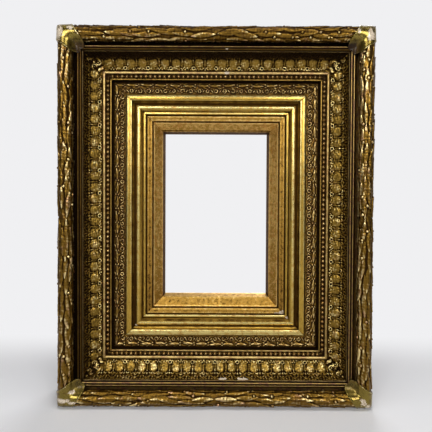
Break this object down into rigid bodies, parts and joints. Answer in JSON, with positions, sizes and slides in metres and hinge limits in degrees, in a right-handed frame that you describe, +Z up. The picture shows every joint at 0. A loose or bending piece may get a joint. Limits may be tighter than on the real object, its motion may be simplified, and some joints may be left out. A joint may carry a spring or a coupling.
{
  "type": "ornate gilded picture frame",
  "caption": "Deep gilded picture frame with a laurel garland edge, plain corner leaves, ornamented cove, beads and a stepped liner around an empty sight opening.",
  "frame": {"origin": "under the middle of the frame, at half its depth, level with its lower edge", "axes": "+Z up as the frame hangs or stands, +X to the viewer's right, -Y out of the front; the back lies towards +Y"},
  "size_m": [0.3724, 0.0826, 0.4484],
  "materials": {
    "board_gilt": "oil gilt and umber wash over pine",
    "garland_gilt": "oil gilt composition with dark patina",
    "scoop_gilt": "oil gilt over gesso with dark patina",
    "cove_gilt": "oil gilt composition with dark patina",
    "bead_gilt": "oil gilt composition with dark patina",
    "band_gilt": "oil gilt composition with dark patina",
    "liner_gilt": "burnished water gilt, rubbed",
    "leaf_gilt": "burnished gilt, chipped to the gesso",
    "raw_pine": "aged raw pine",
    "iron_nail": "dark, rusted",
    "brass_plate": "dull, tarnished",
    "brass_wire": "dull, tarnished",
    "brass_screw": "dull, tarnished"
  },
  "bodies": {
    "root": {"bead_row_bottom": "bead_gilt", "bead_row_left": "bead_gilt", "bead_row_right": "bead_gilt", "bead_row_top": "bead_gilt", "corner_leaf_bottom_left": "leaf_gilt", "corner_leaf_bottom_right": "leaf_gilt", "corner_leaf_top_left": "leaf_gilt", "corner_leaf_top_right": "leaf_gilt", "corner_nails": "iron_nail", "cove_ornament_bottom": "cove_gilt", "cove_ornament_left": "cove_gilt", "cove_ornament_right": "cove_gilt", "cove_ornament_top": "cove_gilt", "garland_bottom": "garland_gilt", "garland_left": "garland_gilt", "garland_right": "garland_gilt", "garland_top": "garland_gilt", "glue_block_bottom_left": "raw_pine", "glue_block_bottom_right": "raw_pine", "glue_block_top_left": "raw_pine", "glue_block_top_right": "raw_pine", "hanger_screws": "brass_screw", "hanger_strap_left": "brass_plate", "hanger_strap_right": "brass_plate", "inner_band_bottom": "band_gilt", "inner_band_left": "band_gilt", "inner_band_right": "band_gilt", "inner_band_top": "band_gilt", "liner_brads": "iron_nail", "liner_rail_bottom": "liner_gilt", "liner_rail_left": "liner_gilt", "liner_rail_right": "liner_gilt", "liner_rail_top": "liner_gilt", "outer_rail_bottom": "board_gilt", "outer_rail_left": "board_gilt", "outer_rail_right": "board_gilt", "outer_rail_top": "board_gilt", "scoop_rail_bottom": "scoop_gilt", "scoop_rail_left": "scoop_gilt", "scoop_rail_right": "scoop_gilt", "scoop_rail_top": "scoop_gilt", "turn_button_screws": "brass_screw"},
    "button_bottom": {"turn_button_bottom": "brass_plate"},
    "button_top": {"turn_button_top": "brass_plate"},
    "button_left": {"turn_button_left": "brass_plate"},
    "button_right": {"turn_button_right": "brass_plate"},
    "ring_left": {"hanger_ring_left": "brass_wire"},
    "ring_right": {"hanger_ring_right": "brass_wire"}
  },
  "joints": [
    {"name": "button_turn_bottom", "type": "hinge", "parent": "root", "child": "button_bottom", "pos_m": [0, 0.0393, 0.1045], "axis": [0, 1, 0], "continuous": true},
    {"name": "button_turn_top", "type": "hinge", "parent": "root", "child": "button_top", "pos_m": [0, 0.0393, 0.3439], "axis": [0, 1, 0], "continuous": true},
    {"name": "button_turn_left", "type": "hinge", "parent": "root", "child": "button_left", "pos_m": [-0.0817, 0.0393, 0.2242], "axis": [0, 1, 0], "continuous": true},
    {"name": "button_turn_right", "type": "hinge", "parent": "root", "child": "button_right", "pos_m": [0.0817, 0.0393, 0.2242], "axis": [0, 1, 0], "continuous": true},
    {"name": "ring_swing_left", "type": "hinge", "parent": "root", "child": "ring_left", "pos_m": [-0.14165, 0.03738, 0.3204], "axis": [1, 0, 0], "range_deg": [0, 165]},
    {"name": "ring_swing_right", "type": "hinge", "parent": "root", "child": "ring_right", "pos_m": [0.14165, 0.03738, 0.3204], "axis": [1, 0, 0], "range_deg": [0, 165]}
  ]
}
